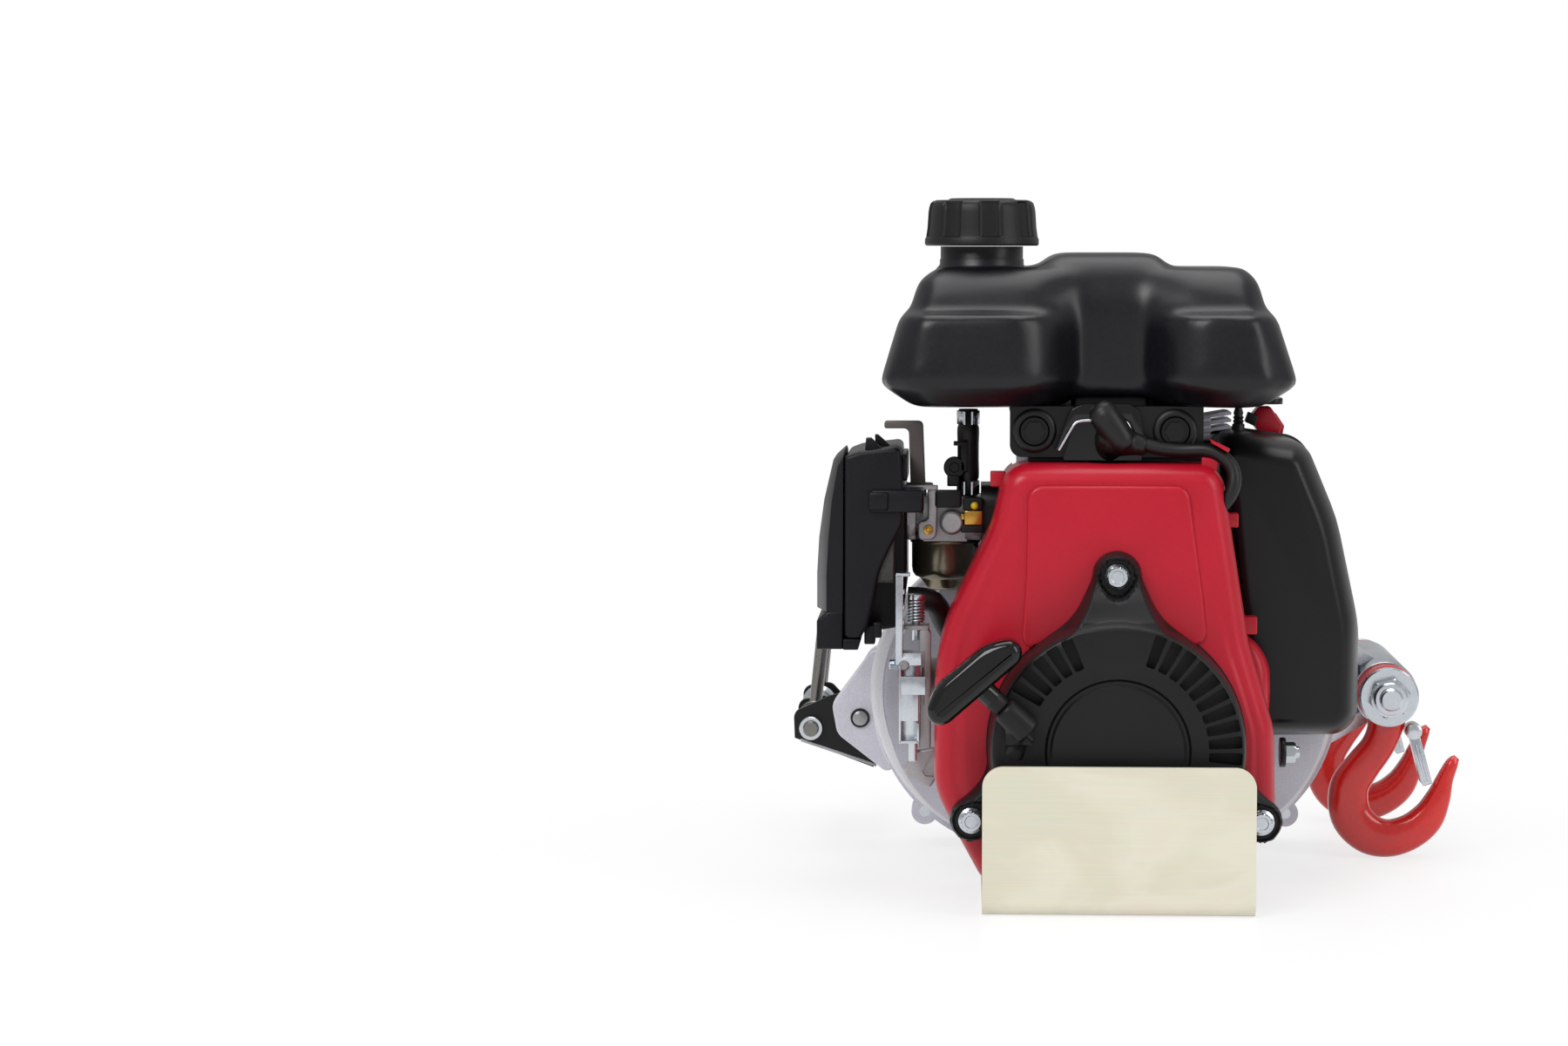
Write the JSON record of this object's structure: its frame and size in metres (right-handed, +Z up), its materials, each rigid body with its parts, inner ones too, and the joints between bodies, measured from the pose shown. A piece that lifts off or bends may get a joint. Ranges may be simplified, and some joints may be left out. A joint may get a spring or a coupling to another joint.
{
  "type": "capstan winch",
  "caption": "Portable engine-driven capstan winch: single-cylinder engine on a gear case that turns a rope drum, with a rope guide and safety hooks for anchoring.",
  "frame": {"origin": "on the ground, below the crank and drum axis, in the middle of the front foot's depth", "axes": "+Z up, +Y from the starter side to the drum side along the crank axis, +X from the air cleaner side to the muffler side"},
  "size_m": [0.3502, 0.3635, 0.3435],
  "materials": {
    "cast_aluminium": "fine cast, shot blasted",
    "machined_steel": "machined, oiled",
    "zinc_steel": "zinc plated, yellowish passivation",
    "black_sheet": "satin black paint",
    "red_shell": "gloss moulded",
    "red_paint": "gloss powder coat",
    "black_moulding": "satin moulded",
    "black_cover": "half gloss moulded",
    "black_rubber": "smooth",
    "starter_rope": "braided",
    "filter_foam": "open foam"
  },
  "bodies": {
    "frame": {"adjuster_screw": "zinc_steel", "adjuster_spring": "zinc_steel", "air_cleaner_case": "black_moulding", "air_filter": "filter_foam", "anchor_bolt": "zinc_steel", "anchor_bracket": "black_sheet", "bearings": "machined_steel", "carburettor_body": "cast_aluminium", "crankcase": "cast_aluminium", "cylinder_block": "cast_aluminium", "fan_shroud": "red_shell", "flange_bolts": "zinc_steel", "float_bowl": "zinc_steel", "front_foot": "zinc_steel", "fuel_tank": "black_moulding", "gear_case": "cast_aluminium", "gear_housing": "cast_aluminium", "guide_pins": "machined_steel", "heat_shield": "black_sheet", "hose_clamps": "zinc_steel", "housing_bolts": "zinc_steel", "ignition_coil": "machined_steel", "ignition_lead": "black_rubber", "intake_insulator": "black_moulding", "muffler_body": "machined_steel", "muffler_guard": "black_sheet", "plug_cap": "black_rubber", "recoil_cover": "black_cover", "rope_guide": "black_sheet", "rubber_hoses": "black_rubber", "shaft_seal": "black_rubber", "spark_plug": "machined_steel", "stop_switch": "red_shell", "tank_bolts": "zinc_steel", "tank_bracket": "black_sheet", "tank_grommets": "black_rubber", "throttle_bracket": "zinc_steel"},
    "crank": {"crankshaft": "machined_steel", "flywheel_fan": "cast_aluminium", "clutch_hub": "machined_steel", "clutch_shoes": "machined_steel"},
    "input": {"clutch_bell": "machined_steel"},
    "first_shaft": {"first_gear": "machined_steel"},
    "second_shaft": {"second_gear": "machined_steel"},
    "drum": {"drum_shaft": "machined_steel", "capstan_drum": "cast_aluminium", "drum_bolt": "zinc_steel"},
    "pulley": {"recoil_pulley": "black_moulding"},
    "grip": {"starter_handle": "black_moulding", "starter_cord": "starter_rope"},
    "cap": {"fuel_cap": "black_moulding"},
    "choke": {"choke_lever": "zinc_steel"},
    "throttle": {"throttle_lever": "zinc_steel"},
    "cleaner_lid": {"air_cleaner_cover": "black_moulding"},
    "rocker": {"stop_rocker": "black_moulding"},
    "roller": {"rope_roller": "zinc_steel"},
    "hook_front": {"front_hook": "red_paint"},
    "hook_rear": {"rear_hook": "red_paint"},
    "latch_front": {"front_latch": "zinc_steel"},
    "latch_rear": {"rear_latch": "zinc_steel"}
  },
  "joints": [
    {"name": "crank_spin", "type": "hinge", "parent": "frame", "child": "crank", "pos_m": [0, 0.06, 0.077], "axis": [0, 1, 0], "continuous": true},
    {"name": "input_spin", "type": "hinge", "parent": "frame", "child": "input", "pos_m": [0, 0.12, 0.077], "axis": [0, 1, 0], "continuous": true},
    {"name": "first_spin", "type": "hinge", "parent": "frame", "child": "first_shaft", "pos_m": [-0.04445, 0.14, 0.06516], "axis": [0, 1, 0], "continuous": true},
    {"name": "second_spin", "type": "hinge", "parent": "frame", "child": "second_shaft", "pos_m": [-0.03275, 0.15, 0.10965], "axis": [0, 1, 0], "continuous": true},
    {"name": "drum_spin", "type": "hinge", "parent": "frame", "child": "drum", "pos_m": [0, 0.23, 0.077], "axis": [0, 1, 0], "continuous": true},
    {"name": "starter_pull", "type": "slide", "parent": "frame", "child": "grip", "axis": [-0.7314, 0, 0.682], "range_m": [0, 0.6], "stiffness_N_per_m": 25, "springref_m": -0.4},
    {"name": "pulley_spin", "type": "hinge", "parent": "frame", "child": "pulley", "pos_m": [0, -0.037, 0.077], "axis": [0, 1, 0], "range_deg": [-1190, 5]},
    {"name": "cap_turn", "type": "hinge", "parent": "frame", "child": "cap", "pos_m": [-0.066, 0.048, 0.33], "axis": [0, 0, 1], "range_deg": [0, 90]},
    {"name": "choke_turn", "type": "hinge", "parent": "frame", "child": "choke", "pos_m": [-0.096, 0.07, 0.222], "axis": [0, 0, 1], "range_deg": [0, 75]},
    {"name": "throttle_swing", "type": "hinge", "parent": "frame", "child": "throttle", "pos_m": [-0.104, 0.012, 0.113], "axis": [0, 1, 0], "range_deg": [-8, 25]},
    {"name": "cleaner_lid_swing", "type": "hinge", "parent": "frame", "child": "cleaner_lid", "pos_m": [-0.124, 0.062, 0.113], "axis": [0, -1, 0], "range_deg": [0, 35]},
    {"name": "stop_rock", "type": "hinge", "parent": "frame", "child": "rocker", "pos_m": [0.079, 0.1195, 0.231], "axis": [1, 0, 0], "range_deg": [-12, 12]},
    {"name": "roller_spin", "type": "hinge", "parent": "frame", "child": "roller", "pos_m": [-0.1557, 0.248, 0.063], "axis": [0, 1, 0], "continuous": true},
    {"name": "hook_front_swing", "type": "hinge", "parent": "frame", "child": "hook_front", "pos_m": [0.147, 0.133, 0.085], "axis": [0, 1, 0], "range_deg": [-100, 6]},
    {"name": "hook_rear_swing", "type": "hinge", "parent": "frame", "child": "hook_rear", "pos_m": [0.147, 0.265, 0.085], "axis": [0, 1, 0], "range_deg": [-100, 6]},
    {"name": "latch_front_swing", "type": "hinge", "parent": "hook_front", "child": "latch_front", "pos_m": [0.1605, 0.133, 0.0665], "axis": [0, 1, 0], "range_deg": [0, 30], "stiffness_Nm_per_rad": 0.05, "springref_deg": -34.38},
    {"name": "latch_rear_swing", "type": "hinge", "parent": "hook_rear", "child": "latch_rear", "pos_m": [0.1605, 0.265, 0.0665], "axis": [0, 1, 0], "range_deg": [0, 30], "stiffness_Nm_per_rad": 0.05, "springref_deg": -34.38}
  ],
  "couplings": [
    {"joint": "first_spin", "follows": "input_spin", "ratio": -0.17347},
    {"joint": "second_spin", "follows": "input_spin", "ratio": 0.03932},
    {"joint": "drum_spin", "follows": "input_spin", "ratio": -0.0099965},
    {"joint": "pulley_spin", "follows": "starter_pull", "rad_per_m": -34.483}
  ]
}
